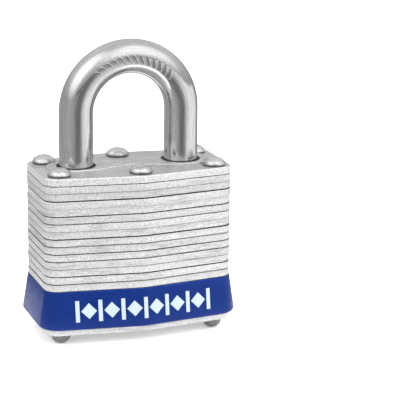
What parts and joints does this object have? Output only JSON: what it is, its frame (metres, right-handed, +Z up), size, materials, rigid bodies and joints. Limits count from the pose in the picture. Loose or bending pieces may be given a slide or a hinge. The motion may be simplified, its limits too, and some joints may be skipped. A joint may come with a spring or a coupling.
{
  "type": "laminated padlock",
  "caption": "Keyed padlock of riveted steel plates with a bent-rod shackle and a moulded bumper round its foot; the shackle lifts and the plug turns.",
  "frame": {"origin": "on the ground under the middle of the case, where the rivet feet stand", "axes": "+X right seen from the front, the front with the patterned bumper face looks along -Y, +Z up towards the shackle"},
  "size_m": [0.0424, 0.0246, 0.0613],
  "materials": {
    "plate_steel": "matt zinc plated, fine grain",
    "rivet_steel": "bright zinc plated",
    "shackle_steel": "satin plated",
    "bumper_vinyl": "satin vinyl, royal blue",
    "mark_white": "white print",
    "cylinder_zinc": "die-cast zinc",
    "brass": "turned",
    "lever_steel": "punched, oiled",
    "spring_steel": "drawn wire"
  },
  "bodies": {
    "case": {"bottom_plate": "plate_steel", "case_plate_02": "plate_steel", "case_plate_03": "plate_steel", "case_plate_04": "plate_steel", "case_plate_05": "plate_steel", "case_plate_06": "plate_steel", "case_plate_07": "plate_steel", "case_plate_08": "plate_steel", "case_plate_09": "plate_steel", "case_plate_10": "plate_steel", "case_plate_11": "plate_steel", "case_plate_12": "plate_steel", "case_plate_13": "plate_steel", "case_plate_14": "plate_steel", "case_plate_15": "plate_steel", "case_plate_16": "plate_steel", "case_plate_17": "plate_steel", "case_plate_18": "plate_steel", "case_plate_19": "plate_steel", "case_plate_20": "plate_steel", "top_plate": "plate_steel", "corner_rivets": "rivet_steel", "lever_rivet_front": "rivet_steel", "lever_rivet_rear": "rivet_steel", "bumper": "bumper_vinyl", "bumper_mark": "mark_white", "shackle_spring": "spring_steel", "cylinder_shell": "cylinder_zinc", "chamber_cover": "brass", "pin_spring_1": "spring_steel", "pin_spring_2": "spring_steel", "pin_spring_3": "spring_steel", "pin_spring_4": "spring_steel"},
    "shackle": {"shackle": "shackle_steel"},
    "plug": {"plug": "brass", "plug_retainer": "spring_steel", "cam": "lever_steel"},
    "lever_left": {"locking_lever_left": "lever_steel"},
    "lever_right": {"locking_lever_right": "lever_steel"},
    "key_pin_1": {"key_pin_1": "brass"},
    "driver_pin_1": {"driver_pin_1": "brass"},
    "key_pin_2": {"key_pin_2": "brass"},
    "driver_pin_2": {"driver_pin_2": "brass"},
    "key_pin_3": {"key_pin_3": "brass"},
    "driver_pin_3": {"driver_pin_3": "brass"},
    "key_pin_4": {"key_pin_4": "brass"},
    "driver_pin_4": {"driver_pin_4": "brass"}
  },
  "joints": [
    {"name": "shackle_lift", "type": "slide", "parent": "case", "child": "shackle", "axis": [0, 0, 1], "range_m": [0, 0.0135], "deforming": ["shackle_spring"]},
    {"name": "plug_turn", "type": "hinge", "parent": "case", "child": "plug", "pos_m": [0, 0, 0.012], "axis": [0, 0, -1], "range_deg": [0, 90]},
    {"name": "lever_right_swing", "type": "hinge", "parent": "case", "child": "lever_right", "pos_m": [0, -0.00795, 0.0282], "axis": [0, 0, -1], "range_deg": [0, 18.8]},
    {"name": "lever_left_swing", "type": "hinge", "parent": "case", "child": "lever_left", "pos_m": [0, 0.00795, 0.0298], "axis": [0, 0, -1], "range_deg": [0, 10]},
    {"name": "key_pin_1_slide", "type": "slide", "parent": "plug", "child": "key_pin_1", "axis": [1, 0, 0], "range_m": [-0.0023, 0]},
    {"name": "driver_pin_1_slide", "type": "slide", "parent": "case", "child": "driver_pin_1", "axis": [1, 0, 0], "range_m": [-0.0023, 0], "deforming": ["pin_spring_1"]},
    {"name": "key_pin_2_slide", "type": "slide", "parent": "plug", "child": "key_pin_2", "axis": [1, 0, 0], "range_m": [-0.0031, 0]},
    {"name": "driver_pin_2_slide", "type": "slide", "parent": "case", "child": "driver_pin_2", "axis": [1, 0, 0], "range_m": [-0.0031, 0], "deforming": ["pin_spring_2"]},
    {"name": "key_pin_3_slide", "type": "slide", "parent": "plug", "child": "key_pin_3", "axis": [1, 0, 0], "range_m": [-0.0027, 0]},
    {"name": "driver_pin_3_slide", "type": "slide", "parent": "case", "child": "driver_pin_3", "axis": [1, 0, 0], "range_m": [-0.0027, 0], "deforming": ["pin_spring_3"]},
    {"name": "key_pin_4_slide", "type": "slide", "parent": "plug", "child": "key_pin_4", "axis": [1, 0, 0], "range_m": [-0.0035, 0]},
    {"name": "driver_pin_4_slide", "type": "slide", "parent": "case", "child": "driver_pin_4", "axis": [1, 0, 0], "range_m": [-0.0035, 0], "deforming": ["pin_spring_4"]}
  ],
  "couplings": [
    {"joint": "lever_right_swing", "follows": "plug_turn", "ratio": 0.20888},
    {"joint": "lever_left_swing", "follows": "plug_turn", "ratio": 0.11111},
    {"joint": "driver_pin_1_slide", "follows": "key_pin_1_slide", "ratio": 1},
    {"joint": "driver_pin_2_slide", "follows": "key_pin_2_slide", "ratio": 1},
    {"joint": "driver_pin_3_slide", "follows": "key_pin_3_slide", "ratio": 1},
    {"joint": "driver_pin_4_slide", "follows": "key_pin_4_slide", "ratio": 1}
  ]
}
